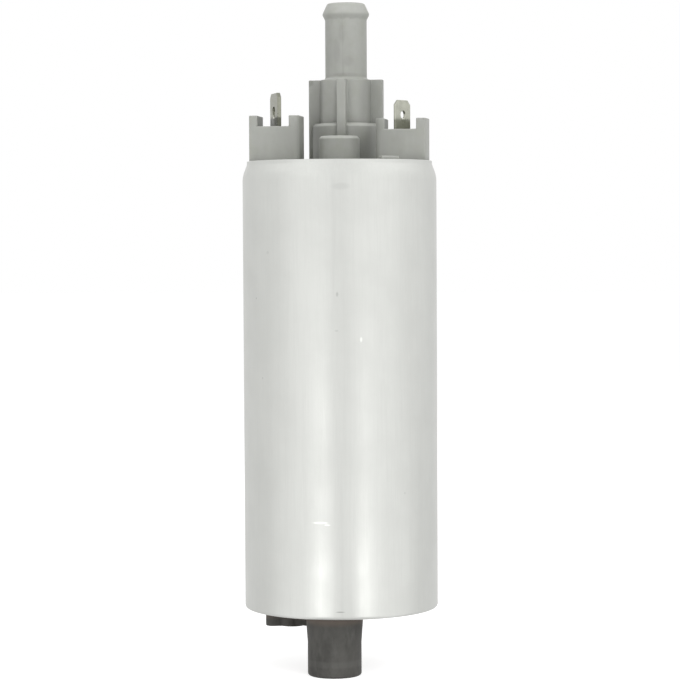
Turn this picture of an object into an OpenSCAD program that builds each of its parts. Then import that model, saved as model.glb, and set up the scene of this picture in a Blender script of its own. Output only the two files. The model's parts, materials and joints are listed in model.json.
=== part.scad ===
// Electric fuel pump: a gerotor pump section and a two-pole motor in a rolled metal can.
// The can's axis is Z with the outlet up, and the origin lies halfway along the can.
// The outlet tower stands on the +Y side, the two terminals on -X and +X, and the inlet stub on -Y.
// Lengths are millimetres and angles are degrees.

/* [Can] */
// Outer diameter of the can
can_d = 38; // [37:0.1:42]
// Length of the can between its rolled ends
can_len = 87.6; // [83:0.1:105]
// Sheet thickness of the can
can_wall = 0.7; // [0.5:0.05:0.9]
// Radius of the can's lower outer corner
can_corner = 0.7; // [0.4:0.05:1.2]
// Inner radius of the lip rolled in under the inlet cover
foot_lip_r = 16; // [15.5:0.1:16.6]
// Thickness of the lower lip
foot_lip_t = 0.8; // [0.5:0.05:1.2]
// Height of the shoulder spun in over the outlet cap
shoulder_h = 2.9; // [2.6:0.1:4.5]
// How far the shoulder comes in from the can's side
shoulder_in = 0.86; // [0.6:0.02:0.95]
// Height of the upright neck at the shoulder's top
neck_h = 0.7; // [0.4:0.1:1.2]
// Thickness of the sheet at the neck
neck_wall = 0.35; // [0.25:0.05:0.5]

/* [Fits] */
// Radial gap between pieces seated in one another
seat_gap = 0.05; // [0.03:0.01:0.1]
// Radial running clearance of shafts, rotors and sliding pieces
run_gap = 0.03; // [0.02:0.005:0.06]
// Gap between flat faces that slide or turn on each other
face_gap = 0.03; // [0.02:0.005:0.06]

/* [Inlet cover] */
// Thickness of the cover's flange
cover_h = 5; // [4.6:0.1:8]
// How far the cover's underside is set back from the can's end
cover_setback = 0.3; // [0:0.05:0.5]
// Distance of the inlet stub from the can's axis
stub_y = 9.8; // [9:0.1:10.2]
// Radius of the stub where the hose grips
stub_r = 5.22; // [5:0.02:5.6]
// Radius of the stub at its root
stub_root_r = 5.62; // [5.6:0.02:6]
// How far the stub reaches below the can
stub_len = 11.95; // [9:0.05:25]
// Length of the tapered root of the stub
stub_root_len = 5.5; // [1:0.1:6]
// Radius of the stub's bore
stub_bore_r = 3.5; // [2:0.1:3.6]
// Radius of the inlet chamber in the flange, above the stub
inlet_room_r = 4.2; // [3.8:0.1:4.4]
// Bevel around the stub's mouth
stub_bevel = 0.3; // [0.2:0.05:0.8]
// Depth of the O-ring grooves in the cover and in the cap, from the can's wall
seal_groove_h = 1.6; // [1.4:0.05:1.9]
// Width of the O-ring grooves
seal_groove_w = 2.2; // [2:0.1:2.6]
// How deep the rotor pin stands in the cover
pin_seat = 3; // [2:0.1:3.4]

/* [Relief valve] */
// Place of the relief valve's axis across the cover
relief_x = -9.2; // [-9.6:0.1:-8.8]
// Place of the relief valve's axis along the cover
relief_y = -4; // [-4.4:0.1:-3.4]
// Outer radius of the relief valve's boss
relief_boss_r = 2.6; // [2.4:0.05:3]
// How far the relief valve's boss stands below the can
relief_boss_h = 3.3; // [3:0.1:6]
// Radius of the valve ball
relief_ball_r = 1.4; // [1.2:0.05:1.5]
// Radius of the hole that the ball closes
relief_seat_r = 0.9; // [0.6:0.05:1]
// Radial room for fuel around the ball
relief_room = 0.35; // [0.2:0.05:0.4]
// Thickness of the plug under the spring
relief_plug_h = 1.2; // [0.8:0.1:1.6]
// Thickness of the relief spring's wire
relief_wire_d = 0.45; // [0.3:0.05:0.5]
// Radius of the small lobe beside the boss
lobe_r = 1.4; // [1:0.1:1.8]
// Place of the lobe across the cover
lobe_x = -12.9; // [-13.4:0.1:-12.6]
// Place of the lobe along the cover
lobe_y = -5; // [-5.4:0.1:-4.6]
// Thickness of the web between the boss and the inlet stub
boss_web_t = 3.2; // [2:0.1:4]
// How far the web's underside is set back from the boss's
boss_web_setback = 0.4; // [0.1:0.05:0.8]
// Depth of the channel that feeds the relief valve
relief_channel_h = 1.4; // [1:0.1:1.6]
// Thickness of the wall with the valve's seat
relief_seat_t = 1; // [0.8:0.1:1.4]
// Place of the feed channel's end across the cover
relief_feed_x = -13.3; // [-13.6:0.1:-13]
// Place of the feed channel's end along the cover
relief_feed_y = -5.8; // [-6.2:0.1:-5.4]
// Turns of the relief spring
relief_spring_turns = 4; // [3:1:5]

/* [Pump section] */
// Teeth on the inner rotor; the outer rotor has one lobe more
rotor_teeth = 6; // [6:1:7]
// Distance between the two rotors' axes
rotor_offset = 1.05; // [0.8:0.05:1.1]
// Radius of the circle on which the outer rotor's lobes stand
lobe_circle_r = 10; // [9.8:0.1:10.4]
// Radius of one lobe of the outer rotor
rotor_lobe_r = 2.8; // [2.5:0.05:2.9]
// Height of both rotors
rotor_h = 4.5; // [3:0.1:9]
// Gap left between meshing teeth
mesh_gap = 0.035; // [0.03:0.005:0.06]
// Depth of the root behind the outer rotor's lobes, past the tooth tips
root_gap = 0.1; // [0.08:0.01:0.2]
// Thickness of the outer rotor behind its root
outer_rotor_wall = 2.1; // [1.6:0.1:2.6]
// Radius of the fixed pin that the inner rotor turns on
rotor_pin_r = 2; // [1.6:0.1:2.1]
// Depth of the ports cut in the plates
port_depth = 2.5; // [1.5:0.1:3]
// Inner radius of the ports
port_ri = 6.4; // [6.2:0.1:6.8]
// Outer radius of the ports
port_ro = 9; // [8.4:0.1:9.2]
// Angle that each port covers
port_angle = 130; // [90:1:140]

/* [Outlet plate] */
// Thickness of the plate above the rotors
plate_h = 8.5; // [8.2:0.1:12]
// Radius of the drive coupling
coupling_r = 5.4; // [5.3:0.05:5.5]
// Thickness of the drive coupling
coupling_h = 2.8; // [2.4:0.1:3.2]
// Depth of the recess above the coupling
recess_room = 0.35; // [0.2:0.05:0.6]
// Number of the coupling's drive pins
drive_pin_count = 3; // [2:1:4]
// Length of the drive pins in the inner rotor
drive_pin_len = 2.25; // [1.5:0.05:2.8]
// Radius of the coupling's drive pins
drive_pin_r = 0.9; // [0.6:0.05:0.95]
// Radius of the circle of drive pins
drive_circle_r = 3.9; // [3.8:0.05:4]
// Height of the ledge that carries the magnets
ledge_h = 3; // [1:0.1:5]
// Depth of the slots for the magnet clips in the ledge
clip_slot_h = 1.5; // [0.5:0.1:2.5]

/* [Motor] */
// Radius of the shaft
shaft_r = 2; // [1.5:0.05:2.1]
// Distance between the shaft's drive flats
shaft_flats = 3; // [2.4:0.1:3.2]
// Bevel at the ends of the shaft and of the rotor pin
end_bevel = 0.3; // [0.1:0.05:0.5]
// How far the shaft's foot stands above the rotors
shaft_lift = 0.35; // [0.2:0.05:0.6]
// Room above the shaft's upper end
shaft_room = 1; // [0.4:0.1:2]
// Wall of the sintered bearing bushes
bush_wall = 1.2; // [0.8:0.1:1.4]
// Length of the lower bearing bush
lower_bush_len = 4.6; // [3:0.1:5]
// Length of the upper bearing bush
upper_bush_len = 6; // [4:0.1:7]
// Width of the ledge that the upper bush stands on
bush_ledge = 0.4; // [0.2:0.05:0.8]
// Radial room around the shaft where it passes a wall
shaft_play = 0.6; // [0.3:0.05:0.8]
// Outer radius of the armature's iron core
core_r = 11; // [10:0.1:11.5]
// Slots in the iron core, which is also the count of commutator segments
core_slots = 8; // [6:2:12]
// Width of the iron teeth between the slots
tooth_w = 2.4; // [1.6:0.1:2.6]
// Radius of the slots' floor
slot_floor_r = 5; // [4.4:0.1:5.6]
// Thickness of the iron over the slots
tooth_tip_t = 1.2; // [0.8:0.1:1.6]
// Width of the slots' mouths
slot_mouth_w = 1.4; // [1:0.1:2]
// Height of the winding heads above and below the core
crown_h = 6.5; // [4:0.1:8]
// Radius of the winding heads' rounded edges
crown_round = 2.6; // [1:0.1:2.7]
// Thickness of the end insulators
insulator_t = 0.8; // [0.5:0.1:1.2]
// Gap between the core and the magnets
air_gap = 0.5; // [0.3:0.05:0.8]
// Thickness of the steel yoke tube
yoke_t = 1.7; // [1:0.1:2.2]
// Angle that each magnet covers
magnet_angle = 136; // [120:1:144]
// How far the magnets reach past the core at its upper end
magnet_over = 3; // [1:0.1:5]
// Thickness of the magnet clips' spring steel
clip_t = 0.5; // [0.3:0.05:0.8]
// Room below the lower winding head
armature_room = 1.6; // [1.4:0.1:4]

/* [Commutator and brushes] */
// Outer radius of the flat commutator
commutator_r = 9.5; // [9.3:0.1:10.5]
// Thickness of the commutator segments
segment_t = 1.2; // [0.8:0.1:2]
// Thickness of the moulded hub under the segments
hub_t = 2.8; // [2:0.1:4]
// Gap between neighbouring segments
segment_gap = 0.5; // [0.3:0.05:0.8]
// How far the hub's collar stands above the segments
hub_collar_h = 2; // [1.5:0.1:3]
// Thickness of the thrust washers
washer_t = 0.5; // [0.3:0.05:0.8]
// Distance of the brushes from the axis
brush_x = 6.9; // [6.8:0.05:7]
// Size of a brush along the radius
brush_w = 4.4; // [3.6:0.1:4.4]
// Size of a brush across the radius
brush_b = 5; // [4:0.1:6]
// Length of a new brush
brush_len = 9; // [6:0.1:10]
// Length of a fitted brush spring
brush_spring_len = 6.5; // [5:0.1:9]
// Thickness of the brush spring's wire
brush_wire_d = 0.5; // [0.3:0.05:0.6]
// Turns of a brush spring
brush_spring_turns = 6; // [4:1:9]
// Radius of the braided brush leads
lead_r = 0.4; // [0.3:0.05:0.5]
// Radius of the stud on a brush's end
stud_r = 0.8; // [0.6:0.05:1]
// Height of that stud
stud_h = 1; // [0.6:0.1:1.4]
// Gap around a brush in its guide
brush_gap = 0.08; // [0.05:0.01:0.15]
// Wall of the brush guides
guide_wall = 1; // [0.8:0.1:1.4]

/* [Outlet cap] */
// Depth of the cap inside the can, from the can's upper end
cap_depth = 22; // [20:0.1:26]
// Wall of the cap's skirt
skirt_wall = 3; // [2.6:0.1:3.2]
// How far the cap's floor lies below the can's upper end
floor_drop = 0.6; // [0.2:0.1:1]
// Thickness of the cap's floor
floor_t = 3.4; // [2.6:0.1:5]
// Outer radius of the upper bearing's boss
boss_r = 4; // [3.9:0.05:4.4]
// Height of the bearing boss above the can
boss_h = 4.95; // [4.5:0.05:8]
// Bevel around the tops of the boss and the collar
rim_bevel = 0.5; // [0.2:0.05:0.8]
// Thickness of the closed top of the boss
boss_top_t = 1.5; // [1:0.1:2]
// How far the upper bush's top lies below the boss's closed top
bush_drop = 3.2; // [2.6:0.1:3.6]
// Distance of the upper O-ring groove below the can's upper end
upper_seal_drop = 9; // [7:0.1:12]

/* [Terminal sockets] */
// Distance of the sockets' inner faces from the axis
socket_x = 7.5; // [7.3:0.05:7.8]
// Radius of the sockets' outer faces
socket_r = 17.65; // [17:0.05:17.75]
// Size of a socket along Y
socket_y = 6.6; // [6.4:0.1:8]
// Radius of the wide terminal socket's inner front corner
wide_socket_round = 1.1; // [0.5:0.1:1.4]
// Radius of the narrow terminal socket's inner front corner
narrow_socket_round = 1.4; // [0.5:0.1:1.6]
// Height of the wide terminal's socket above the can
wide_socket_h = 9; // [6:0.1:11]
// Height of the narrow terminal's socket above the can
narrow_socket_h = 8.2; // [6:0.1:10]
// Depth of the slot across each socket's top
notch_h = 2.1; // [1:0.1:4]
// Width of the slot across each socket's top
notch_w = 6.2; // [5:0.1:6.6]
// Distance of the wide terminal and its slot from the axis
wide_x = 12.6; // [12.2:0.05:12.7]
// Distance of the narrow terminal and its slot from the axis
narrow_x = 12.4; // [12.2:0.05:12.6]
// Thickness of the terminals' inner feet
foot_t = 0.8; // [0.5:0.05:1]
// Width of both terminals inside their sockets
root_w = 4.4; // [4:0.1:4.6]
// Width of the wide terminal
wide_w = 6.3; // [5.8:0.1:6.4]
// Thickness of the wide terminal's blade
wide_t = 0.8; // [0.5:0.05:1]
// Height of the wide terminal's tip above the can
wide_h = 13.45; // [11:0.05:18]
// Direction of the wide terminal's width, from +X
wide_turn = 113; // [95:1:120]
// Radius of the wide terminal's hole
wide_hole_r = 1.05; // [0.6:0.05:1.2]
// Distance of the wide terminal's hole below its tip
wide_hole_drop = 3.7; // [3:0.1:4.2]
// Width of the narrow terminal
narrow_w = 4.8; // [4.6:0.1:5.4]
// Thickness of the narrow terminal's blade
narrow_t = 0.5; // [0.4:0.05:0.8]
// Height of the narrow terminal's tip above the can
narrow_h = 11.8; // [10:0.05:16]
// Direction of the narrow terminal's width, from +X
narrow_turn = 59.5; // [55:0.5:85]
// Radius of the narrow terminal's hole
narrow_hole_r = 0.74; // [0.5:0.02:1]
// Distance of the narrow terminal's hole below its tip
narrow_hole_drop = 2.85; // [2.4:0.05:3.4]
// Corner cut at the terminals' tips
tip_cut = 0.9; // [0.4:0.05:1.2]
// Width of the terminals' inner feet, which close the brush guides
foot_w = 4; // [3.6:0.1:4.4]
// Length of the locating lug at the cap's front rim
lug_len = 4.1; // [2:0.1:5]
// Height of the locating lug above the can
lug_h = 0.6; // [0.3:0.1:1.5]
// Thickness of the locating lug along the radius
lug_t = 1.2; // [0.6:0.1:2]
// Direction of the locating lug, from +X
lug_turn = -48; // [-60:1:-30]

/* [Outlet tower] */
// Distance of the outlet from the can's axis
tower_y = 10.1; // [9.8:0.05:10.1]
// Radius of the tower's core
tower_r = 5.2; // [5:0.05:5.4]
// Height of the tower above the can
tower_h = 16.45; // [15.5:0.05:25]
// Thickness of the tower's ribs
rib_t = 1.8; // [1:0.1:2.6]
// Radius that the ribs reach
rib_r = 7.45; // [6.9:0.05:7.5]
// Radius of the collar at the tower's foot
collar_r = 6.7; // [6:0.05:6.8]
// Height of the collar above the can
collar_h = 7.7; // [5:0.1:10]
// Outer radius of the hose barb's tube
barb_r = 4.15; // [4:0.05:4.5]
// Radius of the barb's bead
bead_r = 4.72; // [4.4:0.02:5.2]
// Radius of the barb's flat tip
tip_r = 3.7; // [3.5:0.05:4.1]
// Height of the barb above the tower
barb_h = 15.2; // [12:0.1:25]
// Distance of the bead's crest below the tip
bead_drop = 2.2; // [1.5:0.1:2.6]
// Height of the bevel under the bead's crest
bead_under = 1.1; // [0.6:0.1:1.6]
// How far the rounding of the barb's edges reaches
barb_round = 0.35; // [0.1:0.05:0.5]
// Radius of the fillet at the barb's root
barb_fillet = 0.6; // [0.3:0.05:0.9]
// Radius of the outlet's bore
outlet_bore_r = 2.7; // [2:0.05:2.8]

/* [Check valve] */
// Radius of the valve chamber in the tower
chamber_r = 3.9; // [3.7:0.05:4]
// Length of the valve chamber
chamber_len = 14; // [12.5:0.1:16]
// Height of the seat ring
valve_seat_h = 2.5; // [2:0.1:3.5]
// Radius of the seat ring's bore
valve_bore_r = 2.1; // [1.6:0.05:2.3]
// Radius of the valve's guide disc
valve_disc_r = 3.6; // [3.45:0.05:3.6]
// Thickness of the valve's guide disc
valve_disc_h = 1.4; // [1:0.1:2]
// Height of the valve's stem above its cone
valve_stem_h = 3.5; // [2.5:0.1:4.5]
// Height of the valve's cone
valve_cone_h = 1; // [0.6:0.1:1.4]
// Number of flow slots in the guide disc
valve_slots = 3; // [2:1:4]
// Width of the flow slots in the guide disc
valve_slot_w = 1.8; // [1.2:0.1:2.2]
// Thickness of the check valve spring's wire
valve_wire_d = 0.6; // [0.4:0.05:0.6]
// Turns of the check valve spring
valve_spring_turns = 5; // [4:1:8]

/* [Hidden] */
$fn = 72;

// How far a cutting shape runs past the face that it cuts
over = 1;
// Points along one tooth of the inner rotor, and how far they crowd towards its root
tooth_points = 24;
tooth_crowding = 0.8;
// Rings along one turn of a spring, and sides of its wire
wire_rings = 10;
wire_sides = 6;
// Turns at each end of a spring that lie flat
flat_turns = 0.75;
// Points along a rounded corner of a turned outline
corner_points = 5;

// Colours as the photograph shows them, and the usual ones for what is inside
can_grey = [0.84, 0.85, 0.84];
cap_grey = [0.60, 0.61, 0.58];
cover_grey = [0.34, 0.33, 0.31];
tin = [0.72, 0.71, 0.62];
steel = [0.62, 0.63, 0.65];
dark_steel = [0.38, 0.38, 0.40];
bronze = [0.66, 0.50, 0.30];
copper = [0.75, 0.42, 0.25];
ferrite = [0.20, 0.20, 0.21];
carbon = [0.12, 0.12, 0.12];
seal_black = [0.07, 0.07, 0.07];
insulator_cream = [0.80, 0.74, 0.58];

// Radii that follow from the can
can_r = can_d/2;
body_r = can_r - can_wall - seat_gap;
neck_r = can_r - shoulder_in;
neck_ri = neck_r - neck_wall;
cap_neck_r = neck_ri - seat_gap;
seal_floor_r = can_r - can_wall - seal_groove_h;
seal_r = (seal_groove_h - seat_gap)/2;

// Heights from the can's lower end to its upper end
z_foot = -can_len/2;
z_cover = z_foot + foot_lip_t;
z_port = z_cover + cover_h;
z_rotor = z_port + face_gap;
z_plate = z_rotor + rotor_h + face_gap;
z_room = z_plate + plate_h;
z_top = can_len/2;
z_skirt = z_top - cap_depth;
z_shoulder = z_top - shoulder_h;
z_floor = z_top - floor_drop;
z_disc = z_floor - floor_t;
z_rooted = z_disc + floor_t/2;

// Motor
z_brush_top = z_disc - foot_t - brush_spring_len;
z_commutator = z_brush_top - brush_len - face_gap;
z_hub = z_commutator - segment_t - hub_t;
z_core_top = z_hub - crown_h;
z_core_foot = z_room + armature_room + crown_h;
z_thrust = z_commutator + hub_collar_h;
z_tube_foot = z_thrust + washer_t + 2*face_gap;
z_boss_hollow = z_top + boss_h - boss_top_t;
z_bush_top = z_boss_hollow - bush_drop;
z_shaft_end = z_boss_hollow - shaft_room;
z_shaft_foot = z_plate + shaft_lift;
bush_r = shaft_r + run_gap + bush_wall;
magnet_ri = core_r + air_gap;
magnet_ro = body_r - yoke_t - seat_gap;
z_magnet = z_room + ledge_h;
magnet_len = z_core_top + magnet_over - z_magnet;
slot_top_r = core_r - tooth_tip_t;

// Rotors
lobes = rotor_teeth + 1;
root_r = lobe_circle_r - rotor_lobe_r + 2*rotor_offset + root_gap;
outer_rotor_r = root_r + outer_rotor_wall;
recess_r = coupling_r + 2*face_gap;
recess_h = coupling_h + recess_room;

// Relief valve
relief_chamber_r = relief_ball_r + relief_room;
z_relief_seat = z_port - relief_channel_h - relief_seat_t;
z_ball = z_relief_seat - sqrt(pow(relief_ball_r, 2) - pow(relief_seat_r, 2)) - face_gap;
relief_coil_r = relief_chamber_r - relief_wire_d/2 - 2*seat_gap;
z_relief_plug = z_foot - relief_boss_h;
z_relief_spring_top = z_ball + relief_wire_d/2 - face_gap
    - sqrt(pow(relief_ball_r + relief_wire_d/2, 2) - pow(relief_coil_r, 2));
relief_feed = [relief_feed_x, relief_feed_y];

// Sockets, tower and check valve
z_foot_plate = z_disc - foot_t;
brush_coil_r = min(foot_w, brush_w)/2 - brush_wire_d;
z_wide_step = z_top + wide_socket_h - notch_h;
z_narrow_step = z_top + narrow_socket_h - notch_h;
z_tower = z_top + tower_h;
z_tip = z_tower + barb_h;
z_valve_seat = z_disc;
z_valve_face = z_valve_seat + valve_seat_h;
z_chamber_top = z_disc + chamber_len;
valve_coil_r = (outlet_bore_r + chamber_r)/2 - seat_gap;

// A straight tube
module tube(r_out, r_in, h) {
    difference() {
        cylinder(r = r_out, h = h);
        translate([0, 0, -over]) cylinder(r = r_in, h = h + 2*over);
    }
}

// A flat ring's outline
module ring_2d(r_out, r_in) {
    difference() {
        circle(r = r_out);
        circle(r = r_in);
    }
}

// A sector from radius 0 to r, centred on +X and "spread" degrees wide, for spreads below 180
module sector_2d(r, spread) {
    reach = r/cos(spread/2);
    polygon([[0, 0], [reach*cos(spread/2), -reach*sin(spread/2)],
        [reach*cos(spread/2), reach*sin(spread/2)]]);
}

// A cylinder with a bevel around its top
module bevelled(r, h, bevel) {
    cylinder(r = r, h = h - bevel);
    translate([0, 0, h - bevel]) cylinder(r1 = r, r2 = r - bevel, h = bevel);
}

// Centre line of a coil with its end turns lying flat
function coil_z(turn, turns, rise) =
    rise*min(1, max(0, (turn - flat_turns)/(turns - 2*flat_turns)));

// Points that round the corner at b between a and c, starting "reach" away from it
function rounded_corner(a, b, c, reach) =
    let (from = b + reach*(a - b)/norm(a - b), to = b + reach*(c - b)/norm(c - b))
    [for (i = [0:corner_points]) let (t = i/corner_points)
        (1 - t)*(1 - t)*from + 2*t*(1 - t)*b + t*t*to];

// A compression spring that stands on z = 0, made of one unbroken wire
module coil_spring(coil_r, wire_d, height, turns) {
    rise = height - wire_d;
    rings = turns*wire_rings;
    points = [for (i = [0:rings]) for (j = [0:wire_sides - 1])
        let (turn = i/wire_rings, around = 360*turn, across = 360*j/wire_sides,
             reach = coil_r + wire_d/2*cos(across))
        [reach*cos(around), reach*sin(around),
         wire_d/2 + coil_z(turn, turns, rise) + wire_d/2*sin(across)]];
    sides = [for (i = [0:rings - 1]) for (j = [0:wire_sides - 1])
        let (a = i*wire_sides + j, b = i*wire_sides + (j + 1)%wire_sides,
             c = b + wire_sides, d = a + wire_sides)
        each [[a, b, c], [a, c, d]]];
    last = rings*wire_sides;
    ends = [for (j = [1:wire_sides - 2])
        each [[0, j + 1, j], [last, last + j, last + j + 1]]];
    polyhedron(points = points, faces = concat(sides, ends));
}

// Section of the can: a rolled lip below, a spun shoulder and neck above
module can() {
    ri = can_r - can_wall;
    z_neck = z_top - neck_h;
    color(can_grey) rotate_extrude() difference() {
        union() {
            translate([0, z_foot]) square([can_r - can_corner, can_corner]);
            intersection() {
                translate([can_r - can_corner, z_foot + can_corner]) circle(r = can_corner);
                translate([0, z_foot]) square([can_r, can_corner]);
            }
            translate([0, z_foot + can_corner]) square([can_r, z_shoulder - z_foot - can_corner]);
            polygon([[0, z_shoulder], [can_r, z_shoulder], [neck_r, z_neck], [neck_r, z_top],
                [0, z_top]]);
        }
        translate([-over, z_foot - over]) square([foot_lip_r + over, can_len + 2*over]);
        polygon([[0, z_cover], [ri, z_cover], [ri, z_shoulder], [neck_ri, z_neck],
            [neck_ri, z_top + over], [0, z_top + over]]);
    }
}

// One port of a plate: a curved slot that runs "from" an angle
module port(from, h) {
    rotate([0, 0, from]) rotate_extrude(angle = port_angle)
        translate([port_ri, 0]) square([port_ro - port_ri, h]);
}

// The dark cover that closes the can below, with the inlet stub and the relief valve's boss
module inlet_cover() {
    z_mouth = z_foot - stub_len;
    boss_height = z_cover - z_relief_plug + over;
    color(cover_grey) difference() {
        union() {
            translate([0, 0, z_foot + cover_setback])
                cylinder(r = foot_lip_r - seat_gap, h = foot_lip_t - cover_setback);
            translate([0, 0, z_cover]) cylinder(r = body_r, h = cover_h);
            translate([0, -stub_y, z_mouth]) {
                cylinder(r1 = stub_r - stub_bevel, r2 = stub_r, h = stub_bevel);
                translate([0, 0, stub_bevel])
                    cylinder(r = stub_r, h = stub_len - stub_root_len - stub_bevel);
                translate([0, 0, stub_len - stub_root_len])
                    cylinder(r1 = stub_r, r2 = stub_root_r, h = stub_root_len);
                translate([0, 0, stub_len]) cylinder(r = stub_root_r, h = foot_lip_t + over);
            }
            translate([relief_x, relief_y, z_relief_plug])
                cylinder(r = relief_boss_r, h = boss_height);
            translate([lobe_x, lobe_y, z_relief_plug]) cylinder(r = lobe_r, h = boss_height);
            boss_web([lobe_x, lobe_y], 2*lobe_r, 0);
            boss_web([0, -stub_y], boss_web_t, boss_web_setback);
        }
        translate([0, -stub_y, z_mouth - over])
            cylinder(r = stub_bore_r, h = z_cover - z_mouth + 2*over);
        translate([0, -stub_y, z_cover])
            cylinder(r = inlet_room_r, h = cover_h - port_depth + over);
        translate([0, 0, z_port - port_depth]) port(270 - port_angle/2, port_depth + over);
        translate([0, 0, z_port - pin_seat])
            cylinder(r = rotor_pin_r + seat_gap, h = pin_seat + over);
        translate([0, 0, z_cover + (cover_h - seal_groove_w)/2])
            tube(can_r, seal_floor_r, seal_groove_w);
        relief_passage();
    }
}

// A web of thickness t from the relief valve's boss to the place "end", set back by "setback"
module boss_web(end, t, setback) {
    span = end - [relief_x, relief_y];
    translate([relief_x, relief_y, z_relief_plug + setback])
        rotate([0, 0, atan2(span[1], span[0])]) translate([0, -t/2, 0])
        cube([norm(span), t, z_cover - z_relief_plug - setback + over]);
}

// The relief valve's way through the cover: feed channel, seat hole and ball chamber
module relief_passage() {
    channel = relief_feed - [relief_x, relief_y];
    translate([relief_x, relief_y, z_port - relief_channel_h])
        rotate([0, 0, atan2(channel[1], channel[0])])
        translate([0, -relief_seat_r, 0])
        cube([norm(channel), 2*relief_seat_r, relief_channel_h + over]);
    translate([relief_feed[0], relief_feed[1], z_port - relief_channel_h])
        cylinder(r = relief_seat_r, h = relief_channel_h + over);
    translate([relief_x, relief_y, z_relief_seat - over])
        cylinder(r = relief_seat_r, h = z_port - z_relief_seat + 2*over);
    translate([relief_x, relief_y, z_relief_plug - over])
        cylinder(r = relief_chamber_r, h = z_relief_seat - z_relief_plug + over);
}

// The part of the feed channel that rises through a plate
module relief_feed_hole(z, h) {
    translate([relief_feed[0], relief_feed[1], z - over])
        cylinder(r = relief_seat_r, h = h + 2*over);
}

module relief_ball() {
    color(steel) translate([relief_x, relief_y, z_ball]) sphere(r = relief_ball_r);
}

module relief_spring() {
    foot = z_relief_plug + relief_plug_h + face_gap;
    color(steel) translate([relief_x, relief_y, foot])
        coil_spring(relief_coil_r, relief_wire_d, z_relief_spring_top - foot,
            relief_spring_turns);
}

module relief_plug() {
    color(bronze) translate([relief_x, relief_y, z_relief_plug])
        tube(relief_chamber_r - seat_gap, relief_seat_r, relief_plug_h);
}

// An O-ring that fills its groove, with its middle at height z
module seal(z) {
    color(seal_black) translate([0, 0, z]) rotate_extrude()
        translate([seal_floor_r + seat_gap/2 + seal_r, 0]) circle(r = seal_r);
}

module lower_seal() {
    seal(z_cover + cover_h/2);
}

module upper_seal() {
    seal(z_top - upper_seal_drop);
}

// The fixed pin under the inner rotor, pressed into the inlet cover
module rotor_pin() {
    color(steel) translate([0, 0, z_port - pin_seat])
        bevelled(rotor_pin_r, pin_seat + rotor_h - face_gap, end_bevel);
}

// The ring around the rotors, bored off the pump's axis
module pump_ring() {
    color(dark_steel) difference() {
        translate([0, 0, z_port]) cylinder(r = body_r, h = z_plate - z_port);
        translate([rotor_offset, 0, z_port - over])
            cylinder(r = outer_rotor_r + run_gap, h = z_plate - z_port + 2*over);
        relief_feed_hole(z_port, z_plate - z_port);
    }
}

// Where the centre of an outer lobe passes, seen from the inner rotor, at travel t
function trochoid(t) = [lobe_circle_r*cos(t) + rotor_offset*cos(lobes*t),
    lobe_circle_r*sin(t) + rotor_offset*sin(lobes*t)];

// Outward unit normal of that path
function trochoid_normal(t) =
    let (x = lobe_circle_r*cos(t) + lobes*rotor_offset*cos(lobes*t),
         y = lobe_circle_r*sin(t) + lobes*rotor_offset*sin(lobes*t))
    [x, y]/norm([x, y]);

// Travel at step u, slowed down where the path turns sharply
function tooth_travel(u) = u + tooth_crowding*sin(rotor_teeth*u)/rotor_teeth*180/PI;

// Inner rotor: the inside envelope of the outer rotor's round lobes
module inner_rotor() {
    steps = rotor_teeth*tooth_points;
    outline = [for (i = [0:steps - 1]) let (t = tooth_travel(360*i/steps))
        trochoid(t) - (rotor_lobe_r + mesh_gap)*trochoid_normal(t)];
    color(steel) translate([0, 0, z_rotor]) difference() {
        linear_extrude(rotor_h) polygon(outline);
        translate([0, 0, -over]) cylinder(r = rotor_pin_r + run_gap, h = rotor_h + 2*over);
        drive_pins(drive_pin_r + seat_gap, -over, rotor_h + 2*over);
    }
}

// Outer rotor: round lobes in a round pocket, one more than the inner rotor's teeth
module outer_rotor() {
    color(dark_steel) translate([rotor_offset, 0, z_rotor]) linear_extrude(rotor_h) union() {
        ring_2d(outer_rotor_r, root_r);
        intersection() {
            circle(r = root_r + outer_rotor_wall/2);
            for (i = [0:lobes - 1])
                rotate([0, 0, 360*i/lobes]) translate([lobe_circle_r, 0])
                circle(r = rotor_lobe_r);
        }
    }
}

// The pins with which the coupling drives the inner rotor
module drive_pins(r, z, h) {
    for (i = [0:drive_pin_count - 1])
        rotate([0, 0, 360*i/drive_pin_count]) translate([drive_circle_r, 0, z])
        cylinder(r = r, h = h);
}

// Outline of the shaft's flatted end, grown by a gap
module flatted_2d(gap) {
    intersection() {
        circle(r = shaft_r + gap);
        square([2*shaft_r + 2*gap, shaft_flats + 2*gap], center = true);
    }
}

module drive_coupling() {
    color(insulator_cream) difference() {
        union() {
            translate([0, 0, z_plate]) cylinder(r = coupling_r, h = coupling_h);
            drive_pins(drive_pin_r, z_plate - face_gap - drive_pin_len,
                drive_pin_len + face_gap + over);
        }
        translate([0, 0, z_shaft_foot - face_gap])
            linear_extrude(coupling_h) flatted_2d(seat_gap);
    }
}

// The plate between the rotors and the motor, with the lower bearing and the outlet port
module outlet_plate() {
    color(steel) difference() {
        union() {
            translate([0, 0, z_plate]) cylinder(r = body_r, h = plate_h);
            translate([0, 0, z_room])
                tube(magnet_ro, magnet_ri + seat_gap, ledge_h);
        }
        translate([0, 0, z_plate - over]) cylinder(r = recess_r, h = recess_h + over);
        translate([0, 0, z_plate]) cylinder(r = shaft_r + shaft_play, h = plate_h);
        translate([0, 0, z_room - lower_bush_len])
            cylinder(r = bush_r + seat_gap, h = plate_h);
        translate([0, 0, z_plate - over]) port(90 - port_angle/2, plate_h + 2*over);
        relief_feed_hole(z_plate, plate_h);
        clip_feet();
    }
}

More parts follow.
